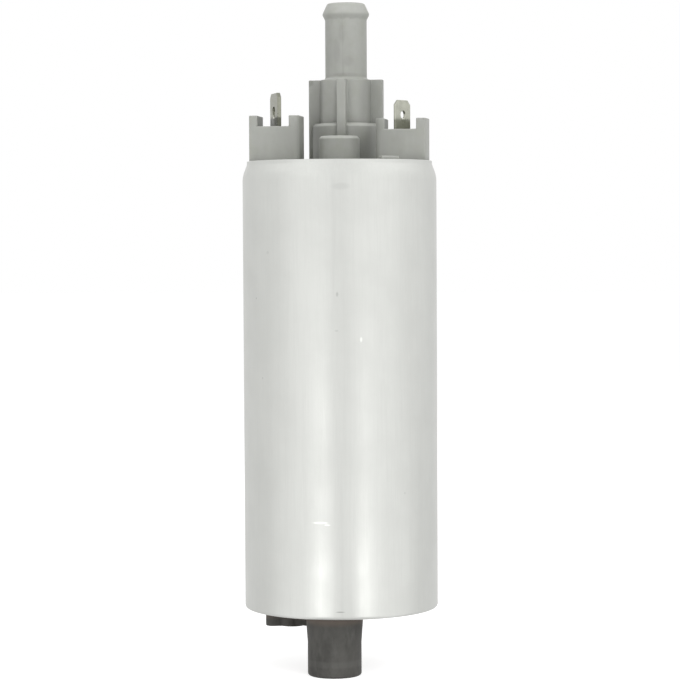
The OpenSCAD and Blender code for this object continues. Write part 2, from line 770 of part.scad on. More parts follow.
// Slots in the magnet ledge under the two magnet clips
module clip_feet() {
    for (turn = [90, 270])
        translate([0, 0, z_magnet - clip_slot_h]) rotate([0, 0, turn])
        linear_extrude(clip_slot_h + over) intersection() {
            ring_2d(magnet_ro + over, magnet_ri - over);
            sector_2d(magnet_ro + over, 90 - magnet_angle/2);
        }
}

// A sintered bush with its foot at height z
module bearing_bush(z, len) {
    color(bronze) translate([0, 0, z]) tube(bush_r, shaft_r + run_gap, len);
}

module lower_bearing() {
    bearing_bush(z_room - lower_bush_len, lower_bush_len);
}

module upper_bearing() {
    bearing_bush(z_bush_top - upper_bush_len, upper_bush_len);
}

module yoke_tube() {
    color(dark_steel) translate([0, 0, z_room]) tube(body_r, body_r - yoke_t, z_skirt - z_room);
}

// One curved magnet, centred on the direction "turn"
module magnet(turn) {
    color(ferrite) translate([0, 0, z_magnet]) rotate([0, 0, turn]) linear_extrude(magnet_len)
        intersection() {
            ring_2d(magnet_ro, magnet_ri);
            sector_2d(magnet_ro + over, magnet_angle);
        }
}

module left_magnet() {
    magnet(180);
}

module right_magnet() {
    magnet(0);
}

// A bent steel clip that spreads the magnets apart, centred on the direction "turn"
module magnet_clip(turn) {
    spread = 180 - magnet_angle;
    leg = 2*asin(clip_t/2/magnet_ri);
    slack = 2*asin(seat_gap/magnet_ri);
    color(steel) translate([0, 0, z_magnet]) rotate([0, 0, turn]) linear_extrude(magnet_len)
        difference() {
            intersection() {
                ring_2d(magnet_ro - seat_gap, magnet_ri + seat_gap);
                sector_2d(magnet_ro + over, spread - slack);
            }
            intersection() {
                ring_2d(magnet_ro + over, magnet_ri + seat_gap + clip_t);
                sector_2d(magnet_ro + over, spread - slack - 2*leg);
            }
        }
}

module front_magnet_clip() {
    magnet_clip(270);
}

module back_magnet_clip() {
    magnet_clip(90);
}

// The shaft, flatted below where it enters the coupling
module shaft() {
    flat_len = coupling_h + face_gap;
    color(steel) union() {
        translate([0, 0, z_shaft_foot]) linear_extrude(flat_len) flatted_2d(0);
        translate([0, 0, z_shaft_foot + flat_len])
            bevelled(shaft_r, z_shaft_end - z_shaft_foot - flat_len, end_bevel);
    }
}

// Directions of the core's iron teeth
module on_teeth() {
    for (i = [0:core_slots - 1])
        rotate([0, 0, 360*(i + 0.5)/core_slots]) children();
}

// The space of all slots, drawn in by a gap
module slots_2d(gap) {
    difference() {
        ring_2d(slot_top_r - gap, slot_floor_r + gap);
        on_teeth() translate([0, -tooth_w/2 - gap]) square([core_r, tooth_w + 2*gap]);
    }
}

// Outline of one core sheet with outer radius r
module core_sheet_2d(r) {
    difference() {
        ring_2d(r, shaft_r + seat_gap);
        slots_2d(0);
        for (i = [0:core_slots - 1])
            rotate([0, 0, 360*i/core_slots]) translate([slot_floor_r + over, -slot_mouth_w/2])
            square([core_r, slot_mouth_w]);
    }
}

module armature_core() {
    foot = z_core_foot + insulator_t;
    color(steel) translate([0, 0, foot])
        linear_extrude(z_core_top - insulator_t - foot) core_sheet_2d(core_r);
}

module lower_insulator() {
    color(insulator_cream) translate([0, 0, z_core_foot])
        linear_extrude(insulator_t) core_sheet_2d(core_r - air_gap);
}

module upper_insulator() {
    color(insulator_cream) translate([0, 0, z_core_top - insulator_t])
        linear_extrude(insulator_t) core_sheet_2d(core_r - air_gap);
}

// Winding head: a rounded ring around the shaft with its foot at height z
module winding_head(z) {
    r_in = slot_floor_r - 2*seat_gap - over;
    r_out = slot_top_r;
    translate([0, 0, z]) rotate_extrude() union() {
        translate([r_in, crown_round]) square([r_out - r_in, crown_h - seat_gap - 2*crown_round]);
        translate([r_in + crown_round, 0])
            square([r_out - r_in - 2*crown_round, crown_h - seat_gap]);
        for (x = [r_in + crown_round, r_out - crown_round]) {
            translate([x, crown_round]) circle(r = crown_round);
            translate([x, crown_h - seat_gap - crown_round]) circle(r = crown_round);
        }
    }
}

module armature_winding() {
    color(copper) union() {
        translate([0, 0, z_core_foot - over])
            linear_extrude(z_core_top - z_core_foot + 2*over) slots_2d(seat_gap);
        winding_head(z_core_foot - crown_h);
        winding_head(z_core_top + seat_gap);
    }
}

// A washer on the shaft with its foot at height z
module thrust_washer(z) {
    color(insulator_cream) translate([0, 0, z]) tube(bush_r, shaft_r + seat_gap, washer_t);
}

module lower_thrust_washer() {
    thrust_washer(z_room + face_gap);
}

module upper_thrust_washer() {
    thrust_washer(z_thrust + face_gap);
}

// The moulded hub that carries the commutator segments
module commutator_hub() {
    color(carbon) translate([0, 0, z_hub]) difference() {
        union() {
            cylinder(r = commutator_r - segment_gap, h = hub_t);
            cylinder(r = bush_r, h = hub_t + segment_t + hub_collar_h);
        }
        translate([0, 0, -over])
            cylinder(r = shaft_r + seat_gap, h = hub_t + segment_t + hub_collar_h + 2*over);
    }
}

// Flat copper segments, one for each slot of the core
module commutator() {
    color(copper) translate([0, 0, z_commutator - segment_t]) linear_extrude(segment_t)
        difference() {
            ring_2d(commutator_r, bush_r + segment_gap);
            on_teeth() translate([0, -segment_gap/2]) square([commutator_r + over, segment_gap]);
        }
}

// Solid of revolution of the cap: skirt, floor and neck, with the groove of the upper seal
module cap_shell() {
    z_neck = z_top - neck_h;
    difference() {
        rotate_extrude() polygon([[0, z_skirt], [body_r, z_skirt],
            [body_r, z_shoulder - seat_gap], [cap_neck_r, z_neck - seat_gap],
            [cap_neck_r, z_floor], [0, z_floor]]);
        translate([0, 0, z_skirt - over])
            cylinder(r = body_r - skirt_wall, h = z_disc - z_skirt + over);
        translate([0, 0, z_top - upper_seal_drop - seal_groove_w/2])
            tube(can_r, seal_floor_r, seal_groove_w);
    }
}

// A socket block around the slot at x, without its terminal, with a rounded inner front corner
module socket(x, z_step, corner) {
    side = sign(x);
    inner = socket_x + corner;
    translate([0, 0, z_rooted]) difference() {
        linear_extrude(z_step + notch_h - z_rooted) intersection() {
            circle(r = socket_r);
            union() {
                translate([side > 0 ? inner : -inner - can_r, -socket_y/2])
                    square([can_r, socket_y]);
                translate([side > 0 ? socket_x : -socket_x - can_r, -socket_y/2 + corner])
                    square([can_r, socket_y - corner]);
                translate([side*inner, -socket_y/2 + corner]) circle(r = corner);
            }
        }
        translate([x - notch_w/2, -can_r, z_step - z_rooted])
            cube([notch_w, can_d, notch_h + over]);
    }
}

// A brush guide that hangs from the cap's floor
module brush_guide(side) {
    z_guide = z_tube_foot;
    translate([side*brush_x - brush_w/2 - brush_gap - guide_wall,
               -brush_b/2 - brush_gap - guide_wall, z_guide])
        cube([brush_w + 2*brush_gap + 2*guide_wall, brush_b + 2*brush_gap + 2*guide_wall,
            z_disc - z_guide + over]);
}

// The space inside a brush guide
module brush_channel(side) {
    translate([side*brush_x - brush_w/2 - brush_gap, -brush_b/2 - brush_gap, z_commutator])
        cube([brush_w + 2*brush_gap, brush_b + 2*brush_gap, z_disc - z_commutator]);
}

// Ribbed tower under the outlet barb, standing on the cap's floor
module tower_body() {
    h = z_tower - z_rooted;
    translate([0, tower_y, z_rooted]) {
        cylinder(r = tower_r, h = h);
        for (i = [0:3])
            rotate([0, 0, 90*i]) translate([0, -rib_t/2, 0]) cube([rib_r, rib_t, h]);
        bevelled(collar_r, h - tower_h + collar_h, rim_bevel);
    }
}

// Hose barb: a tube with a fillet at its root and a conical bead below a flat tip
module barb() {
    neck = [barb_r, barb_h - bead_drop - bead_under];
    crest = [bead_r, barb_h - bead_drop];
    tip = [tip_r, barb_h];
    middle = [0, barb_h];
    root = [for (i = [0:corner_points]) let (a = 90*i/corner_points)
        [barb_r + barb_fillet*(1 - sin(a)), barb_fillet*(1 - cos(a))]];
    translate([0, tower_y, z_tower]) rotate_extrude()
        polygon(concat([[0, -over], [barb_r + barb_fillet, -over]], root, [neck],
            rounded_corner(neck, crest, tip, barb_round),
            rounded_corner(crest, tip, middle, barb_round), [middle]));
}

// The locating lug that stands on the cap's rim in front of the narrow terminal
module rim_lug() {
    h = z_top + lug_h - z_rooted;
    rotate([0, 0, lug_turn]) translate([0, 0, z_rooted]) intersection() {
        tube(cap_neck_r - seat_gap, cap_neck_r - seat_gap - lug_t, h);
        translate([0, -lug_len/2, 0]) cube([can_r, lug_len, h]);
    }
}

// The moulded outlet cap with its sockets, bearing boss, brush guides, tower and barb
module outlet_cap() {
    boss_foot = z_tube_foot;
    color(cap_grey) difference() {
        union() {
            cap_shell();
            socket(-wide_x, z_wide_step, wide_socket_round);
            socket(narrow_x, z_narrow_step, narrow_socket_round);
            for (side = [-1, 1]) brush_guide(side);
            translate([0, 0, boss_foot])
                bevelled(boss_r, z_top + boss_h - boss_foot, rim_bevel);
            tower_body();
            barb();
            rim_lug();
        }
        for (side = [-1, 1]) brush_channel(side);
        translate([0, 0, boss_foot - over])
            cylinder(r = bush_r - bush_ledge, h = z_bush_top - upper_bush_len - boss_foot + 2*over);
        translate([0, 0, z_bush_top - upper_bush_len])
            cylinder(r = bush_r + seat_gap, h = upper_bush_len);
        translate([0, 0, z_bush_top - over])
            cylinder(r = shaft_r + shaft_play, h = z_boss_hollow - z_bush_top + over);
        translate([0, tower_y, z_disc - over]) cylinder(r = chamber_r, h = chamber_len + over);
        translate([0, tower_y, z_disc]) cylinder(r = outlet_bore_r, h = z_tip - z_disc + over);
        terminal_root(-wide_x, wide_t, wide_turn, z_wide_step, seat_gap);
        terminal_root(narrow_x, narrow_t, narrow_turn, z_narrow_step, seat_gap);
    }
}

// The part of a terminal inside its socket: an upright root, and a foot that reaches in over
// the brush guide. With a gap, it is the pocket that the cap holds it in.
module terminal_root(x, t, turn, z_step, gap) {
    z_low = z_foot_plate - gap;
    foot_in = brush_x - brush_w/2 - brush_gap - gap;
    translate([x, 0, z_low]) rotate([0, 0, turn])
        translate([-root_w/2 - gap, -t/2 - gap, 0])
        cube([root_w + 2*gap, t + 2*gap, z_step - z_low + over]);
    translate([x > 0 ? foot_in : x, -foot_w/2 - gap, z_low])
        cube([abs(x) - foot_in, foot_w + 2*gap, foot_t + 2*gap]);
}

// A terminal: its root, and the blade that stands on the slot's floor, with its corners cut
module terminal(x, width, t, turn, z_step, z_end, hole_r, hole_drop) {
    h = z_end - z_step;
    color(tin) union() {
        terminal_root(x, t, turn, z_step, 0);
        translate([x, 0, z_step]) rotate([0, 0, turn]) rotate([90, 0, 0])
            translate([0, 0, -t/2]) linear_extrude(t) difference() {
                polygon([[-width/2, 0], [width/2, 0], [width/2, h - tip_cut],
                    [width/2 - tip_cut, h], [-width/2 + tip_cut, h], [-width/2, h - tip_cut]]);
                translate([0, h - hole_drop]) circle(r = hole_r);
            }
    }
}

module wide_terminal() {
    terminal(-wide_x, wide_w, wide_t, wide_turn, z_wide_step, z_top + wide_h, wide_hole_r,
        wide_hole_drop);
}

module narrow_terminal() {
    terminal(narrow_x, narrow_w, narrow_t, narrow_turn, z_narrow_step, z_top + narrow_h,
        narrow_hole_r, narrow_hole_drop);
}

// A carbon brush with the stud that its lead is fixed in
module brush(side) {
    color(carbon) union() {
        translate([side*brush_x - brush_w/2, -brush_b/2, z_commutator + face_gap])
            cube([brush_w, brush_b, brush_len]);
        translate([side*brush_x, 0, z_brush_top]) cylinder(r = stud_r, h = stud_h);
    }
}

module left_brush() {
    brush(-1);
}

module right_brush() {
    brush(1);
}

// The spring between a brush and its terminal's foot
module brush_spring(side) {
    color(steel) translate([side*brush_x, 0, z_brush_top + face_gap])
        coil_spring(brush_coil_r, brush_wire_d, brush_spring_len - 2*face_gap,
            brush_spring_turns);
}

module left_brush_spring() {
    brush_spring(-1);
}

module right_brush_spring() {
    brush_spring(1);
}

// The braided lead inside the spring, from the brush to its terminal's foot
module brush_lead(side) {
    color(copper) translate([side*brush_x, 0, z_brush_top + stud_h])
        cylinder(r = lead_r, h = brush_spring_len - stud_h);
}

module left_brush_lead() {
    brush_lead(-1);
}

module right_brush_lead() {
    brush_lead(1);
}

// The ring pressed in below the check valve, with a cone for the valve to close on
module check_valve_seat() {
    color(bronze) translate([0, tower_y, z_valve_seat]) difference() {
        cylinder(r = chamber_r - seat_gap, h = valve_seat_h);
        translate([0, 0, -over]) cylinder(r = valve_bore_r, h = valve_seat_h + 2*over);
        translate([0, 0, valve_seat_h - valve_cone_h/2])
            cylinder(r1 = valve_bore_r, r2 = valve_bore_r + valve_cone_h/2, h = valve_cone_h/2);
    }
}

// The valve: a cone on its seat, a slotted guide disc and a stem inside the spring
module check_valve() {
    top_r = valve_bore_r + valve_cone_h/2 - face_gap;
    color(seal_black) translate([0, tower_y, z_valve_face + face_gap]) difference() {
        union() {
            translate([0, 0, -valve_cone_h]) cylinder(r1 = top_r - valve_cone_h, r2 = top_r,
                h = valve_cone_h);
            cylinder(r = valve_disc_r, h = valve_disc_h);
            bevelled(valve_bore_r - valve_wire_d/2, valve_stem_h, rim_bevel);
        }
        for (i = [0:valve_slots - 1])
            rotate([0, 0, 360*i/valve_slots])
            translate([valve_bore_r + valve_cone_h/2, -valve_slot_w/2, -over])
            cube([valve_disc_r, valve_slot_w, valve_disc_h + 2*over]);
    }
}

module check_valve_spring() {
    foot = z_valve_face + face_gap + valve_disc_h + face_gap;
    color(steel) translate([0, tower_y, foot])
        coil_spring(valve_coil_r, valve_wire_d, z_chamber_top - face_gap - foot,
            valve_spring_turns);
}

can();
inlet_cover();
lower_seal();
relief_ball();
relief_spring();
relief_plug();
rotor_pin();
pump_ring();
inner_rotor();
outer_rotor();
drive_coupling();
outlet_plate();
lower_bearing();
yoke_tube();
left_magnet();
right_magnet();
front_magnet_clip();
back_magnet_clip();
shaft();
lower_thrust_washer();
lower_insulator();
armature_core();
upper_insulator();
armature_winding();
commutator_hub();
commutator();
upper_thrust_washer();
upper_bearing();
outlet_cap();
upper_seal();
wide_terminal();
narrow_terminal();
left_brush();
right_brush();
left_brush_spring();
right_brush_spring();
left_brush_lead();
right_brush_lead();
check_valve_seat();
check_valve();
check_valve_spring();
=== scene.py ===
import json
import math
from collections import namedtuple

import bmesh
import bpy
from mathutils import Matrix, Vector


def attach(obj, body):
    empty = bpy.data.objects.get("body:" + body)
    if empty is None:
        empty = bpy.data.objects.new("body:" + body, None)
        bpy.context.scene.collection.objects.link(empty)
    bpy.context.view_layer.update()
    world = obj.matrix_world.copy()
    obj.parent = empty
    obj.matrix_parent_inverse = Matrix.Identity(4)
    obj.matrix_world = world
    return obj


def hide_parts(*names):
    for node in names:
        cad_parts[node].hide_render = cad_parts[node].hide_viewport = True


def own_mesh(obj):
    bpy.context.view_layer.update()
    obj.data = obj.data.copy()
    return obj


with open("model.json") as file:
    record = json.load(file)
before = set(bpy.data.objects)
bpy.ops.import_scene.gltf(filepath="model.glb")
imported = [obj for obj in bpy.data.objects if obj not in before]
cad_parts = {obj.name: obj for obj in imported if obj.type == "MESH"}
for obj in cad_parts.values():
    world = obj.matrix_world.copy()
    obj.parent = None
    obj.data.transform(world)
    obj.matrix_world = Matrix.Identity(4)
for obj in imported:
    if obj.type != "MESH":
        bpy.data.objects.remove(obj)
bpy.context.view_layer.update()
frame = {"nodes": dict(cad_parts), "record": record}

# Sizes are in mm and angles in degrees, unless a comment says otherwise
MM = 0.001
HALF_CAN = 43.8          # the frame's origin lies halfway along the can
CAN_R = 19.0
STUB_LEN = 11.95

# The can's shell: its wall, shoulder, upright neck and the lower end that is rolled in
CAN_WALL = 0.7
SHOULDER_DROP = 2.9      # the rounded corner's height below the top
SHOULDER_SOFT = 7.0      # and its radius
NECK_HIGH = 0.7
NECK_OUTER = CAN_R - 0.86
NECK_INNER = CAN_R - 1.21
ROLL_R = 16.0
ROLL_THICK = 0.8

# The blades: place across the can, turn, size, and the heights of the slot's floor, tip and hole
Blade = namedtuple("Blade", "x turn width thick floor_z tip_z hole_r hole_z")
WIDE_BLADE = Blade(-12.6, 113.0, 6.3, 0.8,
                   HALF_CAN + 6.9, HALF_CAN + 13.45, 1.05, HALF_CAN + 9.75)
NARROW_BLADE = Blade(12.4, 59.5, 4.8, 0.5,
                     HALF_CAN + 6.1, HALF_CAN + 11.8, 0.74, HALF_CAN + 8.95)
TIP_CUT = 0.9            # cut off the tip's corners
RIM = 0.05               # flat strip inside a blade's rounded edge
SUNK = 0.05              # the blades reach this far below the slot's floor
BLADE_STEPS = 240        # points around a blade
PARALLEL = 1e-6          # a ray that nears a side by less than this doesn't meet it

# The barb: its axis, its outline above the tower as (radius, height), and its parting lines
TOWER_Y = 10.1
TOWER_TOP = HALF_CAN + 16.45
BARB_PROFILE = [(4.15, TOWER_TOP + 0.9), (4.15, TOWER_TOP + 11.9), (4.66, TOWER_TOP + 12.9),
                (4.6, TOWER_TOP + 13.2), (3.85, TOWER_TOP + 14.85)]
RIDGE_SUNK = 0.08
RIDGE_HALF = 0.13
RIDGE_HIGH = 0.05

# Springs and leads by node: joint, travel, fixed end and moving end at rest
SPRINGS = {
    "check_valve_spring": ("check_valve_lift", 2.5, 53.77, 43.77),
    "relief_spring": ("relief_ball_lift", 0.8, -45.87, -42.5),
    "left_brush_spring": ("left_brush_slide", 1.5, 39.0, 32.5),
    "right_brush_spring": ("right_brush_slide", 1.5, 39.0, 32.5),
    "left_brush_lead": ("left_brush_slide", 1.5, 39.0, 33.5),
    "right_brush_lead": ("right_brush_slide", 1.5, 39.0, 33.5),
}

# Mesh work
MERGE = 1e-7             # metres, points nearer than this are one
FACET_ANGLE = 0.6        # faces that meet at less are one face
FLAT = 0.999999          # cosine of the angle at which two faces still lie in one plane
BEVEL_ANGLE = 28.0       # edges sharper than this are rounded
BEVEL_SEGMENTS = 3
CORNER_STEPS = 8         # steps of a rounded corner in a turned outline
CORNER_SHARE = 0.48      # of each side beside it, a rounded corner takes at most this much
LATHE_STEPS = 192
SLOPE = math.sqrt(0.5)   # sine and cosine of 45 degrees
WAVE_PERIOD = math.pi / 10   # after this, a wave texture of scale 1 repeats

# The camera, fitted to the photograph
AZIMUTH = 8.2            # it stands a little to the right of the object's front
DISTANCE = 490.3         # from the can's axis
HEIGHT = 29.9            # above the frame's origin
SIDE_STEP = 0.05         # to the right of the can's axis
PITCH = 2.471            # down
ROLL = 0.301             # the object's top leans left in the picture
LENS = 132.12
SENSOR = 36.0

# The floor
FLOOR_REACH = 3.0        # metres
FLOOR_GLOW = 0.76        # with the light on it, this makes the floor white to the camera

# Near-black for grime, also used for painted shade on the cap
DIRT_AND_SHADE = (0.07, 0.073, 0.062)
WHITE = (1, 1, 1, 1)
CENTRE = (0, 0, 0)

# Lamps: name, degrees round from the camera, elevation, distance, width, height, radiance, what
# they light ("metal" mirrors them, "plain" surfaces are lit by them, or "all") and their target
LAMPS = [
    ("field_left", -36, 4, 450, 480, 420, 0.37, "metal", CENTRE),
    ("field_right", 41, 4, 450, 560, 420, 0.39, "metal", CENTRE),
    ("field_middle", 3, 4, 450, 200, 420, 0.08, "metal", CENTRE),
    ("side_left", -92, 26, 450, 360, 620, 0.12, "metal", CENTRE),
    ("side_right", 95, 26, 450, 440, 620, 0.2, "metal", CENTRE),
    ("field_above", 4, 44, 500, 1400, 220, 0.27, "metal", CENTRE),
    ("above_left", -68, 48, 500, 500, 240, 0.3, "metal", CENTRE),
    ("above_right", 74, 48, 500, 500, 240, 0.34, "metal", CENTRE),
    ("floor_left", 3, -89.99, 50, 380, 400, 0.30, "metal", (-158, -250, -5.4)),
    ("floor_right", 3, -89.99, 50, 380, 400, 0.33, "metal", (242, -172, -5.4)),
    ("low_left", -21, 0, 120, 28, 60, 0.66, "metal", (0, 0, -25)),
    ("low_right", 27, 0, 120, 28, 60, 0.44, "metal", (0, 0, -25)),
    ("foot_left", -19, 0, 60, 16, 16, 1.2, "metal", (0, 0, -46.5)),
    ("foot_right", 24, 0, 60, 16, 16, 0.95, "metal", (0, 0, -46.5)),
    ("key", 24, 30, 600, 320, 320, 3.6, "plain", CENTRE),
    ("fill", -36, 12, 600, 320, 320, 1.6, "plain", CENTRE),
    ("left", -85, 10, 600, 320, 320, 0.4, "plain", CENTRE),
    ("right", 80, 38, 600, 320, 320, 1.4, "plain", CENTRE),
    ("top", -10, 72, 500, 420, 420, 1.7, "plain", CENTRE),
    ("top_shine", -10, 72, 500, 420, 420, 1.45, "metal", CENTRE),
    ("back", 180, 35, 600, 500, 300, 0.8, "all", CENTRE),
]

# Finishes inside the can by slot: colour, roughness, grains per metre, the grain's contrast and
# relief, metallic, and for fine lines their axis, pitch and relief
INNER_FINISHES = {
    "seal_rubber": ((0.02, 0.02, 0.02), 0.6, 2600, 0.12, 0.004, 0, None),
    "valve_rubber": ((0.03, 0.03, 0.03), 0.55, 2600, 0.12, 0.004, 0, None),
    "bright_steel": ((0.56, 0.57, 0.59), 0.25, 5200, 0.06, 0.001, 1, None),
    "yoke_steel": ((0.20, 0.20, 0.215), 0.42, 900, 0.15, 0.006, 1, None),
    "core_steel": ((0.36, 0.37, 0.39), 0.36, 2600, 0.12, 0.004, 1, ("Z", 0.5, 0.05)),
    "sintered_steel": ((0.22, 0.22, 0.235), 0.46, 4200, 0.25, 0.008, 1, None),
    "die_cast": ((0.42, 0.43, 0.44), 0.44, 1500, 0.14, 0.012, 1, None),
    "bush_bronze": ((0.50, 0.32, 0.14), 0.40, 4600, 0.25, 0.006, 1, None),
    "copper": ((0.72, 0.34, 0.20), 0.28, 2600, 0.12, 0.004, 1, ("X", 0.12, 0.004)),
    "copper_wire": ((0.50, 0.16, 0.07), 0.32, 2600, 0.12, 0.004, 1, ("Z", 0.55, 0.2)),
    "ferrite": ((0.045, 0.045, 0.048), 0.5, 3000, 0.25, 0.01, 0, None),
    "brush_carbon": ((0.02, 0.02, 0.021), 0.55, 3600, 0.4, 0.01, 0, None),
    "inner_plastic": ((0.62, 0.53, 0.31), 0.45, 1200, 0.05, 0.01, 0, None),
    "hub_plastic": ((0.028, 0.02, 0.016), 0.4, 1800, 0.3, 0.008, 0, None),
}


def on_can(angle, z):
    """A point of the can's side, turned by an angle from the photograph's middle line."""
    a = math.radians(AZIMUTH + angle)
    return (CAN_R * math.sin(a), -CAN_R * math.cos(a), z)


# Small marks on the can: middle, half sizes, brightness, strength
CAN_MARKS = [
    (on_can(-12, -25.2), (1.9, 1.9, 0.28), 1.45, 0.9),
    (on_can(-8, -25.6), (0.8, 0.8, 0.2), 1.45, 0.7),
    (on_can(12.0, 9.6), (0.32, 0.32, 0.65), 1.4, 0.7),
    (on_can(-1.7, 18.2), (0.32, 0.32, 0.62), 0.62, 0.55),
    (on_can(-2.1, 11.3), (0.5, 0.5, 0.26), 0.72, 0.45),
    (on_can(-46.5, 26.1), (0.5, 0.5, 0.42), 0.8, 0.5),
    (on_can(-0.8, -42.2), (1.15, 1.15, 0.15), 0.5, 0.8),
    (on_can(0.6, 38.6), (2.4, 2.4, 0.9), 0.88, 0.6),
    (on_can(-58, 17.3), (0.25, 0.25, 0.25), 0.5, 0.5),
    (on_can(-52, 2.0), (0.2, 0.2, 0.3), 0.5, 0.4),
    (on_can(40, -20.0), (0.2, 0.2, 0.3), 0.6, 0.4),
    (on_can(150, 12.0), (0.3, 0.3, 1.6), 1.35, 0.6),
    (on_can(-140, -18.0), (1.4, 1.4, 0.25), 1.35, 0.6),
    (on_can(100, 30.0), (0.3, 0.3, 0.3), 0.55, 0.5),
]

# Grime and painted shade on the cap: middle, half sizes, strength
CAP_GRIME_AND_SHADE = [
    # Painted shade down the grooves beside the tower's side ribs
    ((-6.0, TOWER_Y - 2.0, TOWER_TOP - 4.5), (2.4, 6.0, 9.0), 0.24),
    ((5.4, TOWER_Y - 2.0, TOWER_TOP - 4.5), (3.2, 6.0, 9.0), 0.26),
    # Painted shade in the recess between the boss and the right socket
    ((5.8, 4.0, HALF_CAN + 3.2), (2.6, 7.0, 4.4), 0.14),
    # Painted shade at the top corner of the left rib
    ((-7.2, TOWER_Y - 1.0, TOWER_TOP - 0.5), (1.0, 2.0, 1.0), 0.3),
    ((-0.2, TOWER_Y - 4.1, TOWER_TOP + 9.1), (0.9, 2.0, 2.8), 0.13),
    ((1.0, TOWER_Y - 4.0, TOWER_TOP + 3.5), (1.5, 2.0, 1.4), 0.12),
    ((-1.3, TOWER_Y - 4.0, TOWER_TOP + 5.4), (1.0, 2.0, 3.4), 0.10),
    ((0.5, TOWER_Y - 4.0, TOWER_TOP + 0.9), (5.0, 2.5, 0.5), 0.12),
    ((0.0, TOWER_Y, TOWER_TOP + 6.0), (12.0, 12.0, 8.0), 0.09),
    ((10.6, -6.6, HALF_CAN + 4.8), (0.9, 0.6, 0.22), 0.35),
    ((9.2, -6.6, HALF_CAN + 5.5), (0.4, 0.6, 0.4), 0.25),
    ((-3.0, TOWER_Y + 4.0, TOWER_TOP + 7.0), (1.6, 2.0, 2.6), 0.12),
    ((-11.0, 6.6, HALF_CAN + 4.0), (2.2, 0.8, 1.0), 0.15),
]


# ---------------------------------------------------------------- objects and camera
def add_object(name, data):
    obj = bpy.data.objects.new(name, data)
    bpy.context.scene.collection.objects.link(obj)
    return obj


def mesh_object(name, bm):
    """Turns a bmesh into an object, and frees it."""
    mesh = bpy.data.meshes.new(name)
    bm.to_mesh(mesh)
    bm.free()
    return add_object(name, mesh)


def make_camera():
    a = math.radians(AZIMUTH)
    data = bpy.data.cameras.new("camera")
    data.lens = LENS
    data.sensor_width = SENSOR
    data.clip_start, data.clip_end = 0.01, 20.0
    camera = add_object("camera", data)
    camera.location = (MM * (DISTANCE * math.sin(a) + SIDE_STEP * math.cos(a)),
                       MM * (-DISTANCE * math.cos(a) + SIDE_STEP * math.sin(a)),
                       MM * HEIGHT)
    camera.rotation_euler = (math.radians(90 - PITCH), math.radians(ROLL), a)
    bpy.context.scene.camera = camera


